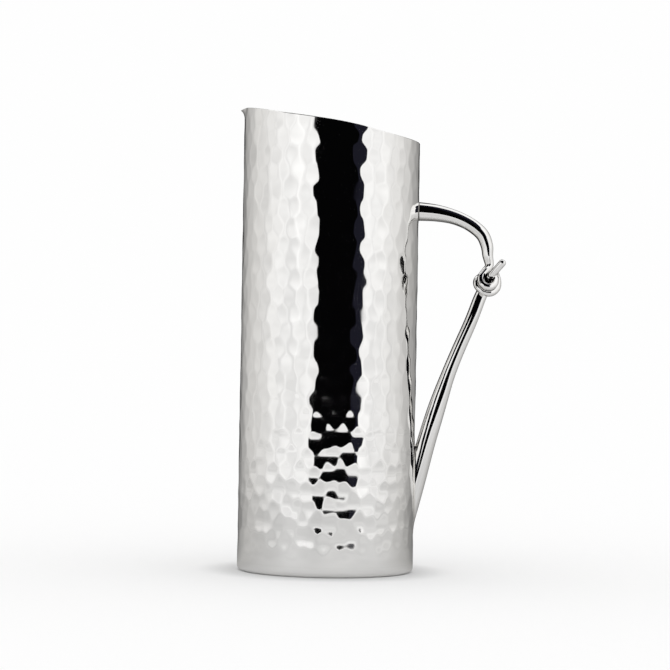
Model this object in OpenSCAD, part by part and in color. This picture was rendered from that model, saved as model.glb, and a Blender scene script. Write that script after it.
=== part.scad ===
// Hammered metal water pitcher with a knotted rod handle.
// Frame: millimetres, +Z up, origin at the centre of the base on the body axis.
// +X points to the handle, -X to the pouring lip.

/* [Body] */
// Outer diameter of the straight round wall
body_d = 115; // [90:1:150]
// Thickness of the sheet metal
wall_t = 1.2; // [0.8:0.1:2]
// Height of the rim on the lip side
rim_high = 302; // [260:1:380]
// Height of the rim on the handle side
rim_low = 280; // [240:1:360]

/* [Pouring lip] */
// How far the lip stands out from the wall
lip_out = 3.3; // [1:0.1:6]
// Width of the lip where it leaves the wall
lip_w = 22; // [14:1:34]
// Height of wall that the lip takes up
lip_h = 8; // [5:0.5:16]
// How far the tip of the lip droops below the rim
lip_droop = 1.6; // [0:0.1:3]

/* [Base] */
// Height of the pressed base, up to the seam
base_h = 6; // [5:0.5:15]
// Outer corner radius of the pressed base
base_corner_r = 3; // [2:0.1:5]
// Height of the seam between base and wall
seam_h = 0.8; // [0.4:0.1:1.5]
// How far the seam's bead stands into the inside
seam_bead = 0.6; // [0:0.1:1]

/* [Handle] */
// Distance from the handle-side rim down to the upper joint
joint_drop = 44.3; // [25:0.1:70]
// Distance from the upper joint down to the centre of the knot
knot_drop = 45.2; // [35:0.1:70]
// Distance from the wall out to the centre of the knot
knot_reach = 45; // [38:1:60]
// Height of the lower rod's end above the table
foot_h = 27; // [15:1:50]
// Diameter of the upper rod at the wall
upper_root_d = 12.2; // [9:0.1:14]
// Diameter of the lower rod at the wall
lower_root_d = 12.3; // [9:0.1:14]
// Diameter of the strand that is tied round the knot
strand_d = 4.8; // [4:0.1:5.8]

/* [Solder] */
// Width of the solder fillet round each rod at the wall
fillet_w = 1; // [0.6:0.1:2]
// Clearance between the upper rod and the bore of its fillet
fillet_gap = 0.02; // [0:0.01:0.1]
// Radius of the solder bead in the groove of the knot
knot_bead_r = 1.2; // [0.8:0.1:1.6]

/* [Hidden] */
body_r = body_d / 2;
inner_r = body_r - wall_t;
wall_z = base_h + seam_h;
rim_slope = (rim_high - rim_low) / body_d;
joint_z = rim_low - joint_drop;
knot_x = body_r + knot_reach;
knot_z = joint_z - knot_drop;
lip_tip_r = 2.2;
bury = 3.5;
rod_sides = 16;
rod_steps = 3;
eps = 0.01;
$fn = 96;

// Upper rod from the wall to the knot: shares of the reach, of the drop and of the root diameter
upper_arch = [[0, 0, 1], [0.245, 0.018, 0.91], [0.48, 0.064, 0.795], [0.67, 0.135, 0.738],
              [0.82, 0.224, 0.725], [0.935, 0.333, 0.713], [0.996, 0.482, 0.664], [1.011, 0.622, 0.574]];

// Tied strand from the top of the knot to its tucked end: x, y, z from the knot's centre and
// diameter, all as they are on a strand of 4.8
knot_strand = [[1.6, 0, 10.5, 5.6], [-1.2, -3.8, 6.8, 5], [-4, -7.4, 3, 4.8], [-3.2, -10.2, -1.4, 4.7],
               [1, -10.6, -3.4, 4.7], [4.8, -7.2, -1.4, 4.6], [5.4, -2.8, 2.2, 4.6], [2.4, 1.2, 3.8, 4.7],
               [-2.4, 1.6, 3.6, 4.8], [-6, -1.2, 1.2, 4.9], [-6, -4.6, -2.8, 5], [-2, -6.2, -6.4, 5],
               [2.8, -5.6, -7, 5], [6.6, -1.6, -4, 4.9], [7.4, 2.4, 0.6, 4.7], [6.4, 4.4, 5.2, 4.2]];

// Lower rod from its foot to the knot: shares of the reach, of the height from foot to knot, and
// of the root diameter
lower_run = [[-0.16, 0, 1], [0.009, 0.18, 1], [0.16, 0.35, 0.992], [0.263, 0.45, 0.967], [0.345, 0.525, 0.9],
             [0.458, 0.62, 0.764], [0.59, 0.715, 0.708], [0.78, 0.84, 0.681]];

// Lower rod through the knot to its free tip, given as the strand is
knot_tail = [[-4.6, 0.6, -11.7, 8.2], [-2.2, 0.8, -6.1, 7.6], [0.1, -2.5, -0.4, 5.6],
             [1.7, -6.6, 3, 4.6], [4.6, -9.4, 6.6, 4.7], [9.3, -12, 12.2, 4.8]];

// Direction in which the knot's solder bead lies from the middle of its groove
bead_groove = [5.4, 1.5, 3];
bead_dir = [0.58, -0.36, 0.73];

function knot_scale() = strand_d / 4.8;
function in_knot(p) = [knot_x + p[0] * knot_scale(), p[1] * knot_scale(),
                       knot_z + p[2] * knot_scale(), p[3] * knot_scale()];

function upper_route() = concat(
    [[body_r - bury, 0, joint_z, upper_root_d]],
    [for (p = upper_arch) [body_r + p[0] * knot_reach, 0, joint_z - p[1] * knot_drop, p[2] * upper_root_d]],
    [for (p = knot_strand) in_knot(p)]);

function lower_route() = concat(
    [for (p = lower_run) [body_r + p[0] * knot_reach, 0, foot_h + p[1] * (knot_z - foot_h),
                          p[2] * lower_root_d]],
    [for (p = knot_tail) in_knot(p)]);

// Catmull-Rom curve through a route's points, with rod_steps steps in each span
function span(a, b, c, d, t) =
    0.5 * (2 * b + (c - a) * t + (2 * a - 5 * b + 4 * c - d) * t * t + (3 * b - a - 3 * c + d) * t * t * t);

function smooth(route) =
    let (last = len(route) - 1,
         far = concat([2 * route[0] - route[1]], route, [2 * route[last] - route[last - 1]]))
    concat([for (i = [0 : last - 1], k = [0 : rod_steps - 1])
                span(far[i], far[i + 1], far[i + 2], far[i + 3], k / rod_steps)],
           [route[last]]);

// A round end: four more rings that close like half a ball
function round_end(line) =
    let (last = len(line) - 1, tip = line[last], way = line[last] - line[last - 1],
         dir = [way[0], way[1], way[2]] / norm([way[0], way[1], way[2]]))
    concat(line, [for (a = [25 : 20 : 85])
        [for (k = [0 : 2]) tip[k] + dir[k] * sin(a) * tip[3] / 2, tip[3] * cos(a)]]);

function place(p) = [p[0], p[1], p[2]];
function tangent(line, i) =
    let (a = place(line[max(i - 1, 0)]), b = place(line[min(i + 1, len(line) - 1)])) (b - a) / norm(b - a);

// One ring of a rod; side is a direction that the route never runs along
function ring(line, i, side, grow) =
    let (t = tangent(line, i), u = cross(t, side) / norm(cross(t, side)), v = cross(t, u))
    [for (k = [0 : rod_sides - 1])
        let (a = 360 * k / rod_sides, r = line[i][3] / 2 + grow)
        place(line[i]) + r * (cos(a) * u + sin(a) * v)];

module rod(line, side, grow = 0) {
    rings = len(line);
    polyhedron(
        points = [for (i = [0 : rings - 1]) each ring(line, i, side, grow)],
        faces = concat(
            [[for (k = [0 : rod_sides - 1]) k]],
            [for (i = [0 : rings - 2], k = [0 : rod_sides - 1])
                let (a = i * rod_sides + k, b = i * rod_sides + (k + 1) % rod_sides)
                each [[a, a + rod_sides, b], [b, a + rod_sides, b + rod_sides]]],
            [[for (k = [rod_sides - 1 : -1 : 0]) (rings - 1) * rod_sides + k]]));
}

function rim_z(x) = rim_low + (body_r - x) * rim_slope;

// Everything above the slanted rim and the drooping tip of the lip
module above_rim() {
    tip_x = -body_r - lip_out;
    top = rim_high + body_d;
    rotate([90, 0, 0])
        linear_extrude(height = 2 * body_d, center = true)
            polygon([[body_d, rim_z(body_d)], [-body_r + 1, rim_z(-body_r + 1)],
                     [tip_x, rim_high - lip_droop], [tip_x - body_r, rim_high - lip_droop],
                     [tip_x - body_r, top], [body_d, top]]);
}

// The lip's pinched form, inset by a thickness of sheet
module lip(inset) {
    flare = (lip_h + 1) / (lip_h - lip_droop);
    tip_x = body_r + lip_out * flare - inset;
    side_x = sqrt(body_r * body_r - lip_w * lip_w / 4) - inset - 0.5;
    top = rim_high + 1;
    hull() {
        translate([-tip_x + lip_tip_r, 0, top]) cylinder(r = lip_tip_r, h = eps, $fn = 32);
        for (s = [-1, 1])
            translate([-side_x, s * (lip_w / 2 - inset), top]) cylinder(r = 0.5, h = eps, $fn = 16);
        translate([-body_r + inset + 1, 0, rim_high - lip_h]) cylinder(r = 0.8, h = eps, $fn = 16);
    }
}

module body_wall() {
    color([0.84, 0.84, 0.85])
    difference() {
        union() {
            translate([0, 0, wall_z]) cylinder(r = body_r, h = rim_high + 5 - wall_z);
            lip(0);
        }
        translate([0, 0, wall_z - 1]) cylinder(r = inner_r, h = rim_high + 10 - wall_z);
        lip(wall_t);
        above_rim();
    }
}

module base_pan() {
    inner_corner = max(base_corner_r - wall_t, 0.4);
    color([0.8, 0.8, 0.81])
    rotate_extrude()
        polygon(concat(
            [[0, 0]],
            [for (a = [-90 : 15 : 0]) [body_r - base_corner_r + base_corner_r * cos(a),
                                       base_corner_r + base_corner_r * sin(a)]],
            [[body_r, base_h], [inner_r, base_h]],
            [for (a = [0 : -15 : -90]) [inner_r - inner_corner + inner_corner * cos(a),
                                        wall_t + inner_corner + inner_corner * sin(a)]],
            [[0, wall_t]]));
}

module base_seam_weld() {
    color([0.74, 0.74, 0.75])
    rotate_extrude()
        polygon([[inner_r - seam_bead, base_h + seam_h / 4], [inner_r, base_h], [body_r, base_h],
                 [body_r, wall_z], [inner_r, wall_z], [inner_r - seam_bead, wall_z - seam_h / 4]]);
}

// What a piece outside the wall must leave free
module wall_space() {
    cylinder(r = body_r, h = rim_high, $fn = 360);
}

module upper_handle_rod() {
    color([0.88, 0.88, 0.89])
    difference() {
        rod(round_end(smooth(upper_route())), [0.2, -0.8, 0.57]);
        wall_space();
    }
}

module lower_handle_rod() {
    color([0.88, 0.88, 0.89])
    difference() {
        rod(round_end(smooth(lower_route())), [0, 1, 0]);
        wall_space();
    }
}

module upper_handle_weld() {
    bore = upper_root_d / 2 + fillet_gap;
    color([0.74, 0.74, 0.75])
    difference() {
        translate([body_r - fillet_w, 0, joint_z])
            rotate([0, 90, 0])
                cylinder(r1 = bore + 2 * fillet_w, r2 = bore, h = 2 * fillet_w, $fn = 180);
        translate([body_r - 2 * fillet_w, 0, joint_z])
            rotate([0, 90, 0])
                cylinder(r = bore, h = 4 * fillet_w, $fn = 180);
        wall_space();
    }
}

// A fillet along the long slanting joint: the rod grown by the fillet, close to the wall only
module lower_handle_weld() {
    line = smooth([for (i = [0 : 3]) lower_route()[i]]);
    color([0.74, 0.74, 0.75])
    difference() {
        intersection() {
            rod(line, [0, 1, 0], fillet_w);
            cylinder(r = body_r + fillet_w, h = rim_high, $fn = 360);
        }
        rod(smooth([for (i = [0 : 4]) lower_route()[i]]), [0, 1, 0]);
        wall_space();
    }
}

module knot_solder() {
    reach = sqrt(pow(strand_d / 2 + knot_bead_r, 2) - pow(strand_d / 2, 2));
    color([0.74, 0.74, 0.75])
    translate([knot_x, 0, knot_z] + bead_groove * knot_scale() + bead_dir * reach)
        sphere(r = knot_bead_r);
}

body_wall();
base_pan();
base_seam_weld();
upper_handle_rod();
lower_handle_rod();
upper_handle_weld();
lower_handle_weld();
knot_solder();
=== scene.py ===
import math
import random

import bmesh
import bpy
from mathutils import Matrix, Vector, noise
from mathutils.bvhtree import BVHTree
from mathutils.kdtree import KDTree


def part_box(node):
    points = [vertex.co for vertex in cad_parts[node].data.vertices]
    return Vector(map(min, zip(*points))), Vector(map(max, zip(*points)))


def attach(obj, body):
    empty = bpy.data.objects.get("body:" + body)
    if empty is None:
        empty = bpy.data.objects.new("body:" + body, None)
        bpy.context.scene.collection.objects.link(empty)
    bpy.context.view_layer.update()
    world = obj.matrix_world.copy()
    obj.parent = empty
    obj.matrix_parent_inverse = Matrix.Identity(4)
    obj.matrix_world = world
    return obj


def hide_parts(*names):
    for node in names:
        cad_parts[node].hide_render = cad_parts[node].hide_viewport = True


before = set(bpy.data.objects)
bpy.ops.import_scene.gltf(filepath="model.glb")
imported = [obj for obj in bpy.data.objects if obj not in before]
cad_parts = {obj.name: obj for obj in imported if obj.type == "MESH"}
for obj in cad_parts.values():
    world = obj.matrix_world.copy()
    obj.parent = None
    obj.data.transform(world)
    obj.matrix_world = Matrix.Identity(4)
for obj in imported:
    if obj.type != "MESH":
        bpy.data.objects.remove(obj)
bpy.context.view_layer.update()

MM = 0.001

# Sizes that the pieces share with the CAD model, in metres
BODY_R = 57.5 * MM
WALL_T = 1.2 * MM
INNER_R = BODY_R - WALL_T
WALL_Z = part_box("body_wall")[0].z
BASE_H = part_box("base_pan")[1].z
RIM_HIGH = 302 * MM
RIM_LOW = 280 * MM
LIP_OUT = 3.3 * MM
LIP_HALF = 11 * MM
LIP_H = 8 * MM
LIP_DROOP = 1.6 * MM
JOINT_Z = 235.7 * MM
FOOT_H = 27 * MM
KNOT_REACH = 45 * MM
KNOT_DROP = 45.2 * MM
KNOT = Vector((BODY_R + KNOT_REACH, 0, JOINT_Z - KNOT_DROP))
UPPER_D = 12.2 * MM
LOWER_D = 12.3 * MM

# Routes of the two rods as in the CAD model. Along the arch: shares of the reach, of the drop
# and of the root diameter. In the knot: millimetres from its centre, and the diameter.
UPPER_ARCH = [(0, 0, 1), (0.245, 0.018, 0.91), (0.48, 0.064, 0.795), (0.67, 0.135, 0.738),
              (0.82, 0.224, 0.725), (0.935, 0.333, 0.713), (0.996, 0.482, 0.664), (1.011, 0.622, 0.574)]
KNOT_STRAND = [(1.6, 0, 10.5, 5.6), (-1.2, -3.8, 6.8, 5), (-4, -7.4, 3, 4.8), (-3.2, -10.2, -1.4, 4.7),
               (1, -10.6, -3.4, 4.7), (4.8, -7.2, -1.4, 4.6), (5.4, -2.8, 2.2, 4.6), (2.4, 1.2, 3.8, 4.7),
               (-2.4, 1.6, 3.6, 4.8), (-6, -1.2, 1.2, 4.9), (-6, -4.6, -2.8, 5), (-2, -6.2, -6.4, 5),
               (2.8, -5.6, -7, 5), (6.6, -1.6, -4, 4.9), (7.4, 2.4, 0.6, 4.7), (6.4, 4.4, 5.2, 4.2)]
LOWER_RUN = [(-0.16, 0, 1), (0.009, 0.18, 1), (0.16, 0.35, 0.992), (0.263, 0.45, 0.967),
             (0.345, 0.525, 0.9), (0.458, 0.62, 0.764), (0.59, 0.715, 0.708), (0.78, 0.84, 0.681)]
KNOT_TAIL = [(-4.6, 0.6, -11.7, 8.2), (-2.2, 0.8, -6.1, 7.6), (0.1, -2.5, -0.4, 5.6),
             (1.7, -6.6, 3, 4.6), (4.6, -9.4, 6.6, 4.7), (9.3, -12, 12.2, 4.8)]
UPPER_SIDE = Vector((0.2, -0.8, 0.57))
LOWER_SIDE = Vector((0, 1, 0))


def smoothstep(low, high, value):
    t = min(max((value - low) / (high - low), 0), 1)
    return t * t * (3 - 2 * t)


# ---- Pieces: helpers -------------------------------------------------------------------------

def link_object(bm, name, material):
    """Makes a mesh an object of the scene."""
    mesh = bpy.data.meshes.new(name)
    bm.to_mesh(mesh)
    bm.free()
    made = bpy.data.objects.new(name, mesh)
    bpy.context.scene.collection.objects.link(made)
    mesh.materials.append(material)
    return made


def finish_piece(bm, name, nodes, material, sharp=40):
    """Makes the mesh a piece that rides on the pitcher's one body and stands for CAD nodes."""
    bmesh.ops.recalc_face_normals(bm, faces=bm.faces)
    piece = link_object(bm, name, material)
    piece.data.shade_smooth()
    piece.data.set_sharp_from_angle(angle=math.radians(sharp))
    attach(piece, "root")
    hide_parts(*nodes)
    return piece


def mark_inside(piece, radius, height):
    """Stores which faces lie inside the pitcher: they were never polished, only brushed."""
    inside = piece.data.attributes.new("inside", "FLOAT", "POINT")
    for v in piece.data.vertices:
        reach = math.hypot(v.co.x, v.co.y)
        deep = smoothstep(0, 2 * MM, rim_height(v.co.x) - v.co.z)
        deep *= smoothstep(height, height + 0.3 * MM, v.co.z)
        inside.data[v.index].value = deep if reach < radius and v.co.x > -INNER_R else 0
    return piece


def new_loop(bm, places):
    """A closed loop of vertices at the given places; returns its vertices in order and its edges."""
    made = bmesh.ops.create_circle(bm, segments=len(places), radius=1)
    verts = made["verts"]
    for v, place in zip(verts, places):
        v.co = place
    return verts, list({e for v in verts for e in v.link_edges})


def next_loop(bm, verts, edges, places):
    """Extrudes a loop and puts each new vertex at its place."""
    made = bmesh.ops.extrude_edge_only(bm, edges=edges)["geom"]
    new_edges = [g for g in made if isinstance(g, bmesh.types.BMEdge)]
    new_verts = {g for g in made if isinstance(g, bmesh.types.BMVert)}
    after = []
    for v in verts:
        after.append(next(e.other_vert(v) for e in v.link_edges if e.other_vert(v) in new_verts))
    ring = [e for e in new_edges if e.verts[0] in new_verts and e.verts[1] in new_verts]
    for v, place in zip(after, places):
        v.co = place
    return after, ring


# ---- The hammered wall -----------------------------------------------------------------------

WALL_COLUMNS = 288
WALL_ROWS = 226
INNER_COLUMNS = 144
INNER_ROWS = 112
DENT_SEED = 11
DENT_COLUMNS = 40
DENT_JITTER = 0.27
DENT_STRETCH = 0.7
DENT_DEPTH = 0.25
DENT_SPREAD = 0.045
DENT_CURVE = 57.0
DENT_REACH = 1.5
PLAIN_FOOT = (0.009, 0.026)
INSIDE_SWELLING = -0.5
RIDGE_SOFT = 0.045
RIM_DIP = 1.1 * MM
RIM_SWELL = 0.75 * MM
RIM_EDGE = 0.45 * MM
# Millimetres in from the outside and down from the rim
RIM_PROFILE = ((0.12, 0.12), (0.34, 0.0), (0.62, 0.0), (0.95, 0.1), (1.15, 0.4))
LIP_FOLD = 1.6 * MM


def rim_height(x):
    """Height of the rim at x: the straight slant of the CAD rim, and its slight hand-cut wave."""
    straight = RIM_LOW + (BODY_R - x) * (RIM_HIGH - RIM_LOW) / (2 * BODY_R)
    across = x / MM
    dip = RIM_DIP * (1 - smoothstep(-36, -3, across))
    swell = RIM_SWELL * smoothstep(-14, 12, across) * (1 - smoothstep(17, 34, across))
    return straight - dip + swell


def hammer_marks():
    """Staggered, jittered hammer blows on the unrolled wall, all in millimetres."""
    draw = random.Random(DENT_SEED)
    around = 2 * math.pi * BODY_R / MM
    pitch = around / DENT_COLUMNS
    row_step = pitch * math.sqrt(3) / 2
    rows = int(320 * DENT_STRETCH / row_step) + 2
    marks = []
    for row in range(-1, rows):
        for column in range(DENT_COLUMNS):
            s = (column + 0.5 * (row % 2)) * pitch + draw.uniform(-DENT_JITTER, DENT_JITTER) * pitch
            t = row * row_step + draw.uniform(-DENT_JITTER, DENT_JITTER) * pitch
            depth = DENT_DEPTH + draw.uniform(-DENT_SPREAD, DENT_SPREAD)
            curve = DENT_CURVE * draw.uniform(0.8, 1.3)
            marks.append((s % around, t, depth, curve))
    tree = KDTree(3 * len(marks))
    for shift in (-around, 0, around):
        for i, mark in enumerate(marks):
            tree.insert((mark[0] + shift, mark[1], 0), i)
    tree.balance()
    return marks, tree, pitch


MARKS, MARK_TREE, MARK_PITCH = hammer_marks()


def hammer_depth(angle, z, soft=RIDGE_SOFT):
    """How far the hammer has driven the wall in, in millimetres."""
    s = (angle % (2 * math.pi)) * BODY_R / MM
    t = z / MM * DENT_STRETCH
    near = []
    for _, i, gap in MARK_TREE.find_range((s, t, 0), DENT_REACH * MARK_PITCH):
        depth, curve = MARKS[i][2], MARKS[i][3]
        near.append(depth - gap * gap / (2 * curve))
    top = max(near)
    total = top + soft * math.log(sum(math.exp((d - top) / soft) for d in near))
    return max(total, 0) * smoothstep(*PLAIN_FOOT, z)


def wall_point(radius, angle, share, depth):
    """A point of the wall at a share of its height, pushed out at the lip and in by depth."""
    x = radius * math.cos(angle)
    y = radius * math.sin(angle)
    z = WALL_Z + share * (rim_height(x) - WALL_Z)
    lean = 1 - depth * MM / radius
    x, y = x * lean, y * lean
    if x < 0 and abs(y) < 1.25 * LIP_HALF:
        across = 1 - min(math.hypot(y, LIP_FOLD) - LIP_FOLD, LIP_HALF) / LIP_HALF
        across = across * across * (3 - 2 * across) * 0.35 + across * 0.65
        up = min(max((z - RIM_HIGH + LIP_H) / LIP_H, 0), 1)
        x -= LIP_OUT * across * up ** 1.9
        z -= LIP_DROOP * across * up ** 2
    return Vector((x, y, z))


def make_wall(material):
    bm = bmesh.new()

    def loop_at(columns, radius, share, drop, relief):
        places = []
        for k in range(columns):
            angle = 2 * math.pi * k / columns
            z = WALL_Z + share * (rim_height(BODY_R * math.cos(angle)) - WALL_Z)
            d = hammer_depth(angle, z, RIDGE_SOFT if relief == 1 else 2 * RIDGE_SOFT)
            place = wall_point(radius, angle, share, d * relief)
            place.z -= drop
            places.append(place)
        return places

    # The outside from the seam up, and the rounded edge of the rim
    outer, outer_edges = new_loop(bm, loop_at(WALL_COLUMNS, BODY_R, 0, 0, 1))
    first, first_edges = outer, outer_edges
    for row in range(1, WALL_ROWS + 1):
        drop = RIM_EDGE if row == WALL_ROWS else 0
        outer, outer_edges = next_loop(bm, outer, outer_edges,
                                       loop_at(WALL_COLUMNS, BODY_R, row / WALL_ROWS, drop, 1))
    for inset, drop in RIM_PROFILE:
        outer, outer_edges = next_loop(
            bm, outer, outer_edges,
            loop_at(WALL_COLUMNS, BODY_R - inset * MM, 1, drop * MM, 1 - 1.4 * inset / 1.2))

    # The inside, where the blows show as low swellings
    inner, inner_edges = new_loop(bm, loop_at(INNER_COLUMNS, INNER_R, 0, 0, INSIDE_SWELLING))
    last_edges = inner_edges
    for row in range(1, INNER_ROWS):
        inner, inner_edges = next_loop(
            bm, inner, inner_edges,
            loop_at(INNER_COLUMNS, INNER_R, row / INNER_ROWS, 0, INSIDE_SWELLING))
    bmesh.ops.bridge_loops(bm, edges=outer_edges + inner_edges)
    bmesh.ops.bridge_loops(bm, edges=first_edges + last_edges)
    wall = finish_piece(bm, "hammered_wall", ["body_wall"], material)
    return mark_inside(wall, INNER_R + 0.5 * MM, 0)


# ---- Base and seam ---------------------------------------------------------------------------

SPIN_STEPS = 192
BASE_CORNER = 3 * MM
SEAM_BEAD_IN = 0.6 * MM
SEAM_BEAD_UP = 0.4 * MM


def spun(profile, name, nodes, material):
    """Turns a profile of (radius, height) points round the body's axis into a closed piece."""
    bm = bmesh.new()
    verts = [bm.verts.new((r, 0, z)) for r, z in profile]
    edges = [bm.edges.new((a, b)) for a, b in zip(verts, verts[1:])]
    if profile[0][0] > 0:
        edges.append(bm.edges.new((verts[-1], verts[0])))
    bmesh.ops.spin(bm, geom=verts + edges, axis=(0, 0, 1), cent=(0, 0, 0),
                   angle=2 * math.pi, steps=SPIN_STEPS, use_merge=True)
    bmesh.ops.remove_doubles(bm, verts=bm.verts, dist=1e-6)
    return finish_piece(bm, name, nodes, material)


def arc(cx, cz, radius, start, end, steps):
    return [(cx + radius * math.cos(math.radians(start + (end - start) * k / steps)),
             cz + radius * math.sin(math.radians(start + (end - start) * k / steps)))
            for k in range(steps + 1)]


def make_base(material):
    inner_corner = BASE_CORNER - WALL_T
    profile = [(0, 0), (20 * MM, 0), (40 * MM, 0), (52 * MM, 0)]
    profile += arc(BODY_R - BASE_CORNER, BASE_CORNER, BASE_CORNER, -90, 0, 12)
    profile += [(BODY_R, BASE_H), (INNER_R, BASE_H)]
    profile += arc(INNER_R - inner_corner, WALL_T + inner_corner, inner_corner, 0, -90, 8)
    profile += [(40 * MM, WALL_T), (20 * MM, WALL_T), (0, WALL_T)]
    base = spun(profile, "pressed_base", ["base_pan"], material)
    return mark_inside(base, INNER_R + 0.1 * MM, 0.8 * MM)


def make_seam(material):
    middle = (BASE_H + WALL_Z) / 2
    bead = [(INNER_R - SEAM_BEAD_IN * math.cos(math.radians(a)),
             middle + SEAM_BEAD_UP * math.sin(math.radians(a))) for a in range(90, -91, -20)]
    profile = [(BODY_R, BASE_H), (BODY_R, WALL_Z)] + bead
    seam = spun(profile, "seam_ring", ["base_seam_weld"], material)
    return mark_inside(seam, INNER_R + 0.1 * MM, 0)


# ---- Handle rods -----------------------------------------------------------------------------

SINK_R = 57.0 * MM
KNOT_SIZE = 24 * MM
CREVICE_REACH = 14 * MM
CREVICE_RAYS = 32
ROD_SIDES = 48
ROD_STEPS = 10
END_ANGLES = (12, 24, 36, 48, 59, 69, 78, 85)


def in_knot(point):
    return (KNOT.x + point[0] * MM, point[1] * MM, KNOT.z + point[2] * MM, point[3] * MM)


def upper_route():
    route = [(BODY_R - 3.5 * MM, 0, JOINT_Z, UPPER_D)]
    route += [(BODY_R + a * KNOT_REACH, 0, JOINT_Z - b * KNOT_DROP, d * UPPER_D) for a, b, d in UPPER_ARCH]
    return route + [in_knot(p) for p in KNOT_STRAND]


def lower_route():
    route = [(BODY_R + a * KNOT_REACH, 0, FOOT_H + b * (KNOT.z - FOOT_H), d * LOWER_D)
             for a, b, d in LOWER_RUN]
    return route + [in_knot(p) for p in KNOT_TAIL]


def smooth_line(route, steps):
    """Catmull-Rom curve through a route's points, as the CAD model draws it."""
    route = [Vector(p) for p in route]
    far = [2 * route[0] - route[1]] + route + [2 * route[-1] - route[-2]]
    line = []
    for a, b, c, d in zip(far, far[1:], far[2:], far[3:]):
        for k in range(steps):
            t = k / steps
            line.append(0.5 * (2 * b + (c - a) * t + (2 * a - 5 * b + 4 * c - d) * t * t
                               + (3 * b - a - 3 * c + d) * t ** 3))
    return line + [route[-1]]


def round_end(line):
    """A round end: rings that close like half a ball."""
    tip, way = line[-1], (line[-1] - line[-2]).to_3d().normalized()
    rings = []
    for a in END_ANGLES:
        place = tip.to_3d() + way * math.sin(math.radians(a)) * tip[3] / 2
        rings.append(Vector((*place, tip[3] * math.cos(math.radians(a)))))
    return line + rings


def ring_places(line, i, side):
    before, after = line[max(i - 1, 0)].to_3d(), line[min(i + 1, len(line) - 1)].to_3d()
    way = (after - before).normalized()
    u = way.cross(side).normalized()
    v = way.cross(u)
    centre, radius = line[i].to_3d(), line[i][3] / 2
    return [centre + radius * (math.cos(a) * u + math.sin(a) * v)
            for a in (2 * math.pi * k / ROD_SIDES for k in range(ROD_SIDES))]


def outward(place):
    return math.hypot(place[0], place[1])


def make_rod(route, side, name, node, material):
    line = round_end(smooth_line(route, ROD_STEPS))
    start = next(i for i in range(len(line))
                 if max(map(outward, ring_places(line, i, side))) > SINK_R)
    bm = bmesh.new()
    loop, edges = new_loop(bm, ring_places(line, start, side))
    bmesh.ops.triangle_fill(bm, edges=edges, use_beauty=True)
    for i in range(start + 1, len(line)):
        loop, edges = next_loop(bm, loop, edges, ring_places(line, i, side))
    bmesh.ops.triangle_fill(bm, edges=edges, use_beauty=True)
    # What would lie inside the wall is laid against a cylinder just under the wall's face
    for v in bm.verts:
        reach = outward(v.co)
        if reach < SINK_R:
            v.co.x *= SINK_R / reach
            v.co.y *= SINK_R / reach
    return finish_piece(bm, name, [node], material, sharp=60)


def hemisphere(count):
    """Directions spread evenly over the half-space above +Z."""
    turn = math.pi * (3 - math.sqrt(5))
    ways = []
    for k in range(count):
        z = math.sqrt((k + 0.5) / count)
        r = math.sqrt(1 - z * z)
        ways.append(Vector((r * math.cos(turn * k), r * math.sin(turn * k), z)))
    return ways


def paint_crevice_shade(rods):
    """Stores on each rod how deep in the knot each place lies, from the share of rays that hit the rods
    close by; this is painted as shade in the knot's crevices.
    """
    trees = []
    for rod in rods:
        verts = [v.co.copy() for v in rod.data.vertices]
        trees.append(BVHTree.FromPolygons(verts, [p.vertices[:] for p in rod.data.polygons]))
    ways = hemisphere(CREVICE_RAYS)
    for rod in rods:
        depth = rod.data.attributes.new("crevice_shade", "FLOAT", "POINT")
        for v in rod.data.vertices:
            if (v.co - KNOT).length > KNOT_SIZE:
                continue
            turn = v.normal.to_track_quat("Z", "Y")
            start = v.co + v.normal * 0.05 * MM
            hits = 0
            for way in ways:
                ray = turn @ way
                if any(tree.ray_cast(start, ray, CREVICE_REACH)[0] is not None for tree in trees):
                    hits += 1
            depth.data[v.index].value = hits / CREVICE_RAYS


# ---- Solder ----------------------------------------------------------------------------------

FACE_SINK = 0.12 * MM
FILLET_ROOT = 0.35 * MM
FILLET_POINTS = 96
FILLET_SIDE_POINTS = 14
HALVINGS = 22
BEAD_R = 1.2 * MM
GROOVE = Vector((5.4, 1.5, 3)) * MM
GROOVE_WAY = Vector((0.58, -0.36, 0.73)).normalized()
GROOVE_LIFT = 2.68 * MM


def rod_gap(place, line):
    """Distance from a place to the surface of a rod, negative inside it."""
    best = 1.0
    for a, b in zip(line, line[1:]):
        along = b.to_3d() - a.to_3d()
        t = min(max((place - a.to_3d()).dot(along) / along.length_squared, 0), 1)
        gap = (place - a.to_3d() - along * t).length - (a[3] + (b[3] - a[3]) * t) / 2
        best = min(best, gap)
    return best


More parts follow.
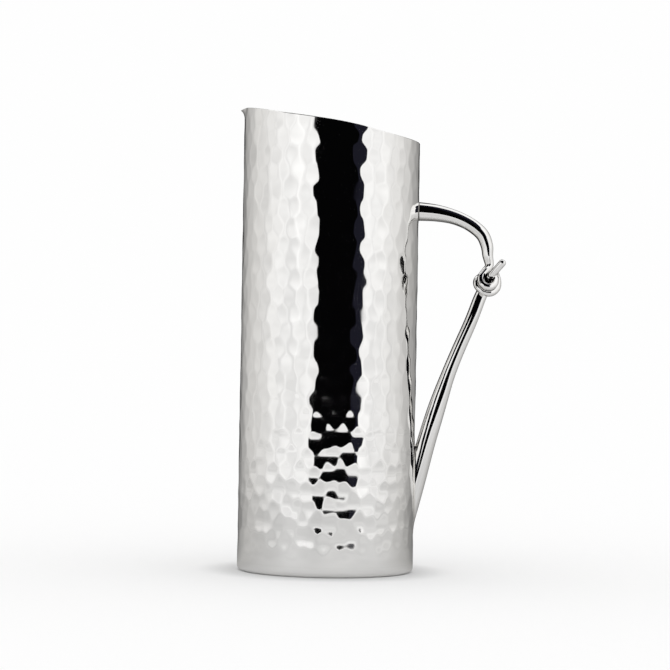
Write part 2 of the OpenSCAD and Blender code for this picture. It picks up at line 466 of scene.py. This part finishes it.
def make_fillet(line, low_z, high_z, reach_across, reach_up, width, name, node, material):
    """A hollow-faced band of solder round the place where a rod meets the wall."""
    face_r = BODY_R - FACE_SINK

    def on_wall(spine_z, turn, far, height):
        r = face_r + height
        return Vector((r * math.cos(far * turn[0] / face_r), r * math.sin(far * turn[0] / face_r),
                       spine_z + far * turn[1]))

    def at_gap(spine_z, turn, height, gap):
        low, high = 0.0, 3 * max(reach_up, reach_across)
        for _ in range(HALVINGS):
            middle = (low + high) / 2
            if rod_gap(on_wall(spine_z, turn, middle, height), line) < gap:
                low = middle
            else:
                high = middle
        return on_wall(spine_z, turn, low, height)

    spine = []
    for k in range(FILLET_POINTS):
        a = 2 * math.pi * k / FILLET_POINTS
        turn = Vector((math.cos(a) * reach_across, math.sin(a) * reach_up)).normalized()
        spine.append((high_z if math.sin(a) > 0 else low_z, turn))
    if high_z > low_z:
        right = [(low_z + (high_z - low_z) * (k + 0.5) / FILLET_SIDE_POINTS, Vector((1, 0)))
                 for k in range(FILLET_SIDE_POINTS)]
        left = [(z, Vector((-1, 0))) for z, _ in reversed(right)]
        top = [s for s in spine if s[1].y > 1e-6]
        bottom = [s for s in spine if s[1].y < -1e-6]
        spine = right + top + left + bottom
    profile = [(width * (1 - math.cos(math.radians(a))), width * (1 - math.sin(math.radians(a))))
               for a in range(0, 91, 15)]
    profile += [(width * 0.9, -FILLET_ROOT), (-FILLET_ROOT, -FILLET_ROOT), (-FILLET_ROOT, width * 0.8)]
    bm = bmesh.new()
    loops = [[at_gap(z, turn, height, gap) for z, turn in spine] for gap, height in profile]
    loop, edges = new_loop(bm, loops[0])
    first_edges = edges
    for places in loops[1:]:
        loop, edges = next_loop(bm, loop, edges, places)
    bmesh.ops.bridge_loops(bm, edges=first_edges + edges)
    return finish_piece(bm, name, [node], material, sharp=50)


def make_bead(material):
    """The small set drop of solder in the groove of the knot."""
    centre = KNOT + GROOVE + GROOVE_WAY * GROOVE_LIFT
    bm = bmesh.new()
    bmesh.ops.create_icosphere(bm, subdivisions=4, radius=BEAD_R)
    along = GROOVE_WAY.orthogonal().normalized()
    for v in bm.verts:
        n = v.co.normalized()
        v.co *= 1 + 0.08 * noise.noise(n * 1.7) - 0.14 * n.dot(GROOVE_WAY) ** 2
        v.co += along * (v.co.dot(along) * 0.12)
        v.co += centre
    return finish_piece(bm, "solder_bead", ["knot_solder"], material, sharp=80)


# ---- Materials -------------------------------------------------------------------------------

class Graph:
    """A node tree, with short ways of adding to it. A value may be a number, a colour or an output."""

    def __init__(self, tree):
        self.nodes, self.links = tree.nodes, tree.links

    def add(self, kind, **values):
        made = self.nodes.new(kind)
        for key, value in values.items():
            if hasattr(made, key):
                setattr(made, key, value)
            else:
                made.inputs[key].default_value = value
        return made

    def feed(self, value, socket):
        if isinstance(value, bpy.types.NodeSocket):
            self.links.new(value, socket)
        else:
            socket.default_value = value

    def calc(self, operation, *values):
        made = self.add("ShaderNodeMath", operation=operation)
        for value, socket in zip(values, made.inputs):
            self.feed(value, socket)
        return made.outputs[0]

    def ranged(self, value, low, high, to=(0, 1), smooth=True):
        made = self.add("ShaderNodeMapRange", interpolation_type="SMOOTHSTEP" if smooth else "LINEAR")
        for key, end in (("Value", value), ("From Min", low), ("From Max", high),
                         ("To Min", to[0]), ("To Max", to[1])):
            self.feed(end, made.inputs[key])
        return made.outputs["Result"]

    def mixed(self, factor, first, second):
        made = self.add("ShaderNodeMix", data_type="RGBA")
        for value, place in ((factor, 0), (first, 6), (second, 7)):
            self.feed(value, made.inputs[place])
        return made.outputs[2]

    def scaled(self, colour, scale):
        made = self.add("ShaderNodeVectorMath", operation="SCALE")
        self.feed(colour, made.inputs[0])
        self.feed(scale, made.inputs["Scale"])
        return made.outputs["Vector"]

    def mapped(self, vector, **values):
        made = self.add("ShaderNodeMapping", **values)
        self.feed(vector, made.inputs["Vector"])
        return made.outputs["Vector"]

    def cloudy(self, vector, scale, detail, roughness, distortion=0.0):
        made = self.add("ShaderNodeTexNoise", Scale=scale, Detail=detail, Roughness=roughness,
                        Distortion=distortion)
        self.feed(vector, made.inputs["Vector"])
        return made.outputs["Fac"]

    def attribute(self, name):
        return self.add("ShaderNodeAttribute", attribute_name=name).outputs["Fac"]

    def place(self):
        return self.add("ShaderNodeTexCoord").outputs["Object"]

    def camera_ray(self):
        return self.add("ShaderNodeLightPath").outputs["Is Camera Ray"]


def new_material(name):
    material = bpy.data.materials.new(name)
    material.use_nodes = True
    graph = Graph(material.node_tree)
    return material, graph, graph.nodes.get("Principled BSDF")


# Rotation and scale of the two crossing sets of hairlines
HAIRLINE_SETS = [((0.5, 0.3, 0.9), (2600, 90, 2600)), ((1.1, -0.4, 2.2), (1900, 70, 1900))]
HAIRLINE_ROUGH = 0.006
SMUDGE_ENDS = (0.42, 0.72)
# Painted shade in the knot's crevices: where the darkening starts and ends, and the near black it goes to
CREVICE_SHADE_ENDS = (0.4, 0.75)
CREVICE_SHADE_BLACK = (0.012, 0.011, 0.011, 1)
BRUSHED_ROUGH = 0.3
BRUSHED_METALLIC = -0.45


def polish_group():
    """Polishing marks: fine hairlines, soft smudges and a faint tarnish, from Object coordinates."""
    group = bpy.data.node_groups.new("polish_marks", "ShaderNodeTree")
    for name, value in (("Roughness", 0.04), ("Smudge", 0.03), ("Hairlines", 0.5), ("Tarnish", 0.3)):
        socket = group.interface.new_socket(name, in_out="INPUT", socket_type="NodeSocketFloat")
        socket.default_value = value
    for name in ("Clean", "Dull"):
        group.interface.new_socket(name, in_out="INPUT", socket_type="NodeSocketColor")
    for name, kind in (("Color", "Color"), ("Roughness", "Float"), ("Height", "Float")):
        group.interface.new_socket(name, in_out="OUTPUT", socket_type="NodeSocket" + kind)
    graph = Graph(group)
    given = graph.add("NodeGroupInput").outputs
    result = graph.add("NodeGroupOutput").inputs
    place = graph.place()

    # Hairlines: noise stretched along a slanted direction
    lines = [graph.cloudy(graph.mapped(place, Rotation=turn, Scale=stretch), 1.0, 2.0, 0.6)
             for turn, stretch in HAIRLINE_SETS]
    both = graph.calc("ADD", *lines)
    graph.feed(graph.calc("MULTIPLY", both, given["Hairlines"]), result["Height"])

    # Smudges from handling and from the polishing cloth
    smudge = graph.cloudy(place, 38.0, 4.0, 0.62, 0.7)
    spots = graph.ranged(smudge, *SMUDGE_ENDS)
    rough = graph.calc("MULTIPLY_ADD", spots, given["Smudge"], given["Roughness"])
    graph.feed(graph.calc("MULTIPLY_ADD", both, HAIRLINE_ROUGH, rough), result["Roughness"])

    # A thin, uneven tarnish
    amount = graph.calc("MULTIPLY", graph.cloudy(place, 16.0, 3.0, 0.55), given["Tarnish"])
    graph.feed(graph.mixed(amount, given["Clean"], given["Dull"]), result["Color"])
    return group


POLISH = polish_group()


def metal(name, clean, dull, roughness, smudge, hairlines, tarnish, bump, pits=0.0, rings=0.0,
          crevice_shade=False, brushed=False):
    """Polished or set metal with its own marks; pits are for cast solder, rings for turned faces, and the
    crevice switch darkens the colour as painted shade in the knot's crevices.
    """
    material, graph, shader = new_material(name)
    marks = graph.add("ShaderNodeGroup", node_tree=POLISH)
    for key, value in (("Roughness", roughness), ("Smudge", smudge), ("Hairlines", hairlines),
                       ("Tarnish", tarnish), ("Clean", (*clean, 1)), ("Dull", (*dull, 1))):
        marks.inputs[key].default_value = value
    colour, rough, height = (marks.outputs[key] for key in ("Color", "Roughness", "Height"))
    metallic = 1.0
    if crevice_shade:
        # Painted shade: the colour goes towards near black where the rays from a place hit the rods close
        # by
        deep = graph.ranged(graph.attribute("crevice_shade"), *CREVICE_SHADE_ENDS)
        colour = graph.mixed(deep, colour, CREVICE_SHADE_BLACK)
    if brushed:
        inside = graph.attribute("inside")
        rough = graph.calc("MULTIPLY_ADD", inside, BRUSHED_ROUGH, rough)
        metallic = graph.calc("MULTIPLY_ADD", inside, BRUSHED_METALLIC, 1.0)
    place = graph.place()
    if pits:
        height = graph.calc("MULTIPLY_ADD", graph.cloudy(place, 1400.0, 3.0, 0.6), pits, height)
    if rings:
        wave = graph.add("ShaderNodeTexWave", wave_type="RINGS", rings_direction="Z", Scale=260.0,
                         Distortion=0.6, Detail=2.0)
        graph.feed(place, wave.inputs["Vector"])
        height = graph.calc("MULTIPLY_ADD", wave.outputs["Fac"], rings, height)
    relief = graph.add("ShaderNodeBump", Strength=1.0, Distance=bump * MM)
    graph.feed(height, relief.inputs["Height"])
    for key, value in (("Base Color", colour), ("Roughness", rough), ("Metallic", metallic),
                       ("Normal", relief.outputs["Normal"])):
        graph.feed(value, shader.inputs[key])
    return material


SILVER = (0.955, 0.95, 0.94)
WORN = (0.86, 0.84, 0.80)
hammered = metal("hammered_silver", SILVER, WORN, 0.03, 0.03, 0.5, 0.3, 0.0008, brushed=True)
polished = metal("polished_silver", SILVER, WORN, 0.02, 0.02, 0.5, 0.2, 0.0006, crevice_shade=True)
turned = metal("turned_base", SILVER, WORN, 0.03, 0.05, 0.5, 0.3, 0.0008, rings=1.0, brushed=True)
set_solder = metal("set_solder", (0.9, 0.89, 0.87), (0.74, 0.71, 0.66), 0.09, 0.08, 0.5, 0.5, 0.003,
                   pits=1.0)
flush_seam = metal("flushed_seam", (0.94, 0.935, 0.92), WORN, 0.05, 0.04, 0.6, 0.3, 0.001,
                   pits=0.3, brushed=True)
# Painted shade: the upper joint's solder is given a dark gray colour for the dark line of shade where the
# rod meets the wall
shaded_joint_solder = metal("shaded_joint_solder", (0.3, 0.295, 0.285), (0.2, 0.19, 0.18), 0.2, 0.08, 0.5, 0.5, 0.003,
                     pits=1.0)

make_wall(hammered)
make_base(turned)
make_seam(flush_seam)
paint_crevice_shade([make_rod(upper_route(), UPPER_SIDE, "upper_rod", "upper_handle_rod", polished),
               make_rod(lower_route(), LOWER_SIDE, "lower_rod", "lower_handle_rod", polished)])
make_fillet(smooth_line(upper_route()[:5], 8), JOINT_Z, JOINT_Z, 1, 1, 0.6 * MM,
            "upper_joint_solder", "upper_handle_weld", shaded_joint_solder)
make_fillet(smooth_line(lower_route()[:6], 8), 47 * MM, 70 * MM, 5.5 * MM, 17 * MM, 1.2 * MM,
            "lower_joint_solder", "lower_handle_weld", set_solder)
make_bead(set_solder)


# ---- Studio ----------------------------------------------------------------------------------

FLOOR_HALF = 6
FLOOR_FRONT, FLOOR_SPLIT, FLOOR_BACK = -8, -1.2, 8
FLOOR_LEVEL = 0.93
SEEN_WHITE = 0.992
# Painted shade: where the floor's two tones darken towards the pitcher's axis: from and to, and the share
# left
REFLECTED_SHADE = (0.3, 1.2, 0.76)
CONTACT_SHADE = (BODY_R, BODY_R + 0.03, 0.8)

# The light tent is what the metal reflects: bright cloth all round, darker towards the back, with a
# dark opening at the front. Tones are sRGB grays at degrees from the front.
TENT_R = 1.5
TENT_TONES = [(-180, 110), (-168, 118), (-157, 132), (-131, 186), (-114, 209), (-101, 214), (-89, 221),
              (-78, 231), (-59, 238), (-41, 244), (41, 243), (59, 242), (78, 234), (89, 228), (101, 219),
              (114, 208), (131, 172), (157, 136), (168, 110), (180, 60)]
METAL_GRAY = 0.945
WARM_TINT = 0.012
ROOF_WHITE = (0.98, 0.98, 0.98, 1)
ROOF_RISE = (0.75, 1.3)
BACK_BLACK = (0.006, 0.006, 0.006, 1)
BACK_EDGES = (157.0, 169.0)
BACK_TOP = (1.3, 1.42)
FOLD_SCALE = (3.4, 3.4, 3.0)
FOLD_TONES = (0.86, 1.12)
LIFT_TONES = (0.965, 1.04)
OPENING_EDGE = 0.6
# Angles of the opening's edges low down, and what is added from 0.5 m and from 0.95 m up
OPENING_LEFT = (-18.0, -37.0, -28.0)
OPENING_RIGHT = (42.0, 4.0, 34.0)
OPENING_STEP = (0.5, 0.62)
OPENING_FLARE = (0.95, 1.3)
OPENING_TOP = (1.494, 1.498)
OPENING_BLACK = (0.0012, 0.0012, 0.0014, 1)
OPENING_BLUE = (0.011, 0.011, 0.018, 1)
BLUE_FROM = (31.0, 32.0)

CARD_X = -0.02
CARD_Y = (0.06, 0.36)
CARD_H = 0.31


def gray(value):
    """Linear value of an sRGB gray from 0 to 255."""
    s = value / 255
    return s / 12.92 if s < 0.04045 else ((s + 0.055) / 1.055) ** 2.4


def stage_object(bm, name, material):
    stage = link_object(bm, name, material)
    return stage


def only_glossy(stage):
    """Lets only reflections see a piece of the stage."""
    for ray in ("camera", "diffuse", "shadow", "transmission", "volume_scatter"):
        setattr(stage, "visible_" + ray, False)


def stage_plane(name, x0, x1, y0, y1, material):
    bm = bmesh.new()
    bmesh.ops.create_grid(bm, x_segments=2, y_segments=2, size=0.5)
    for v in bm.verts:
        v.co.x = x0 + (v.co.x + 0.5) * (x1 - x0)
        v.co.y = y0 + (v.co.y + 0.5) * (y1 - y0)
    return stage_object(bm, name, material)


def azimuth_tones(graph):
    """The place's coordinates and height, its azimuth in degrees from the front, and the tone there."""
    place = graph.place()
    parts = graph.add("ShaderNodeSeparateXYZ")
    graph.feed(place, parts.inputs[0])
    turn = graph.calc("ARCTAN2", parts.outputs["X"], graph.calc("MULTIPLY", parts.outputs["Y"], -1.0))
    ramp = graph.add("ShaderNodeValToRGB")
    ramp.color_ramp.interpolation = "LINEAR"
    stops = ramp.color_ramp.elements
    while len(stops) > 1:
        stops.remove(stops[-1])
    for i, (angle, tone) in enumerate(TENT_TONES):
        share = (angle + 180) / 360
        stop = stops[0] if i == 0 else stops.new(share)
        stop.position = share
        warm = WARM_TINT * min(max((abs(angle) - 60) / 60, 0), 1)
        value = gray(tone) / METAL_GRAY
        stop.color = (value * (1 + warm), value, value * (1 - 1.6 * warm), 1)
    graph.feed(graph.calc("MULTIPLY_ADD", turn, 0.5 / math.pi, 0.5), ramp.inputs["Fac"])
    degrees = graph.calc("MULTIPLY", turn, 180 / math.pi)
    return place, parts.outputs["Z"], degrees, ramp.outputs["Color"]


def cloth_folds(graph, place):
    """Gentle light and shade of cloth that hangs and lies in soft folds."""
    folds = graph.cloudy(graph.mapped(place, Scale=FOLD_SCALE), 1.0, 2.0, 0.6)
    return graph.ranged(folds, 0.3, 0.7, FOLD_TONES, smooth=False)


def floor_material():
    """Pale matt floor. In the metal it carries on the tent's tones as painted light and shade, darker
    towards the pitcher; seen straight it is white, with a painted contact shadow round the base.
    """
    material, graph, shader = new_material("pale_floor")
    shader.inputs["Roughness"].default_value = 0.9
    shader.inputs["Specular IOR Level"].default_value = 0.0
    place, _, _, tones = azimuth_tones(graph)
    distance = graph.add("ShaderNodeVectorMath", operation="LENGTH")
    graph.feed(place, distance.inputs[0])

    def shaded(colour, near, far, least):
        return graph.scaled(colour, graph.ranged(distance.outputs["Value"], near, far, (least, 1)))

    level = graph.calc("MULTIPLY", cloth_folds(graph, place), FLOOR_LEVEL)
    # Painted light and shade in the floor that the metal sees: the tent's tones by azimuth, darker towards
    # the pitcher
    reflected = shaded(graph.scaled(tones, level), *REFLECTED_SHADE)
    # Painted contact shadow round the base in the floor that the camera sees
    seen = shaded((SEEN_WHITE, SEEN_WHITE, SEEN_WHITE), *CONTACT_SHADE)
    graph.feed(graph.mixed(graph.camera_ray(), reflected, seen), shader.inputs["Base Color"])
    return material


def make_floor():
    material = floor_material()
    stage_plane("floor", -FLOOR_HALF, FLOOR_HALF, FLOOR_SPLIT, FLOOR_BACK, material)
    front = stage_plane("floor_front", -FLOOR_HALF, FLOOR_HALF, FLOOR_FRONT, FLOOR_SPLIT, material)
    front.visible_glossy = False


def tent_material():
    material, graph, _ = new_material("tent_cloth")
    graph.nodes.clear()
    place, up, azimuth, tones = azimuth_tones(graph)

    # The roof is brightest. Straight behind, the tent is black up to a steep height.
    roof = graph.mixed(graph.ranged(up, *ROOF_RISE), tones, ROOF_WHITE)
    below = graph.calc("SUBTRACT", 1.0, graph.ranged(up, *BACK_TOP))
    behind = graph.ranged(graph.calc("ABSOLUTE", azimuth), *BACK_EDGES)
    cloth = graph.mixed(graph.calc("MULTIPLY", behind, below), roof, BACK_BLACK)

    # Soft folds of the cloth, and a little more light from above
    lift = graph.ranged(up, -0.1, 0.6, LIFT_TONES, smooth=False)
    cloth = graph.scaled(cloth, graph.calc("MULTIPLY", cloth_folds(graph, place), lift))

    # The opening: upright edges, wider above what the wall reflects, widest near the top
    above, near_top = graph.ranged(up, *OPENING_STEP), graph.ranged(up, *OPENING_FLARE)

    def past(low, step, flare):
        edge = graph.calc("MULTIPLY_ADD", near_top, flare, graph.calc("MULTIPLY_ADD", above, step, low))
        return graph.ranged(azimuth, graph.calc("SUBTRACT", edge, OPENING_EDGE),
                            graph.calc("ADD", edge, OPENING_EDGE))

    inside = graph.calc("MULTIPLY", past(*OPENING_LEFT),
                        graph.calc("SUBTRACT", 1.0, past(*OPENING_RIGHT)))
    inside = graph.calc("MULTIPLY", inside, graph.calc("SUBTRACT", 1.0, graph.ranged(up, *OPENING_TOP)))
    dark = graph.mixed(graph.ranged(azimuth, *BLUE_FROM), OPENING_BLACK, OPENING_BLUE)
    glow = graph.add("ShaderNodeEmission")
    graph.feed(graph.mixed(inside, cloth, dark), glow.inputs["Color"])
    graph.feed(glow.outputs["Emission"], graph.add("ShaderNodeOutputMaterial").inputs["Surface"])
    material.cycles.emission_sampling = "NONE"
    return material


def make_tent():
    bm = bmesh.new()
    bmesh.ops.create_icosphere(bm, subdivisions=6, radius=TENT_R)
    only_glossy(stage_object(bm, "light_tent", tent_material()))


def make_card():
    """A black card edge-on behind the wall, which only the rods see: it draws their inner edges."""
    material, _, shader = new_material("black_card")
    shader.inputs["Base Color"].default_value = (0.004, 0.004, 0.004, 1)
    shader.inputs["Roughness"].default_value = 1.0
    shader.inputs["Specular IOR Level"].default_value = 0.0
    card = stage_plane("card", *CARD_Y, 0, CARD_H, material)
    for v in card.data.vertices:
        v.co = (CARD_X, v.co.x, v.co.y)
    only_glossy(card)


def make_world():
    """Even white light from all round, which the metal itself doesn't reflect."""
    world = bpy.data.worlds.new("studio")
    bpy.context.scene.world = world
    world.use_nodes = True
    graph = Graph(world.node_tree)
    tone = graph.mixed(graph.camera_ray(), (1, 1, 1, 1), (SEEN_WHITE, SEEN_WHITE, SEEN_WHITE, 1))
    graph.feed(tone, graph.nodes["Background"].inputs["Color"])
    world.cycles_visibility.glossy = False
    bpy.context.scene.view_settings.view_transform = "Standard"


# ---- Camera ----------------------------------------------------------------------------------

CAMERA_AT = Vector((0, -1.85, 0.17))
CAMERA_TO = Vector((0.00405, 0, 0.154))
CAMERA_ROLL = math.radians(1)


def make_camera():
    camera = bpy.data.objects.new("camera", bpy.data.cameras.new("camera"))
    bpy.context.scene.collection.objects.link(camera)
    camera.data.sensor_width = 36
    camera.data.lens = 152
    camera.data.clip_end = 50
    ahead = (CAMERA_TO - CAMERA_AT).normalized()
    across = ahead.cross(Vector((0, 0, 1))).normalized()
    up = across.cross(ahead)
    right = across * math.cos(CAMERA_ROLL) + up * math.sin(CAMERA_ROLL)
    top = up * math.cos(CAMERA_ROLL) - across * math.sin(CAMERA_ROLL)
    turn = Matrix((right, top, -ahead)).transposed().to_4x4()
    camera.matrix_world = Matrix.Translation(CAMERA_AT) @ turn
    bpy.context.scene.camera = camera


make_floor()
make_tent()
make_card()
make_world()
make_camera()
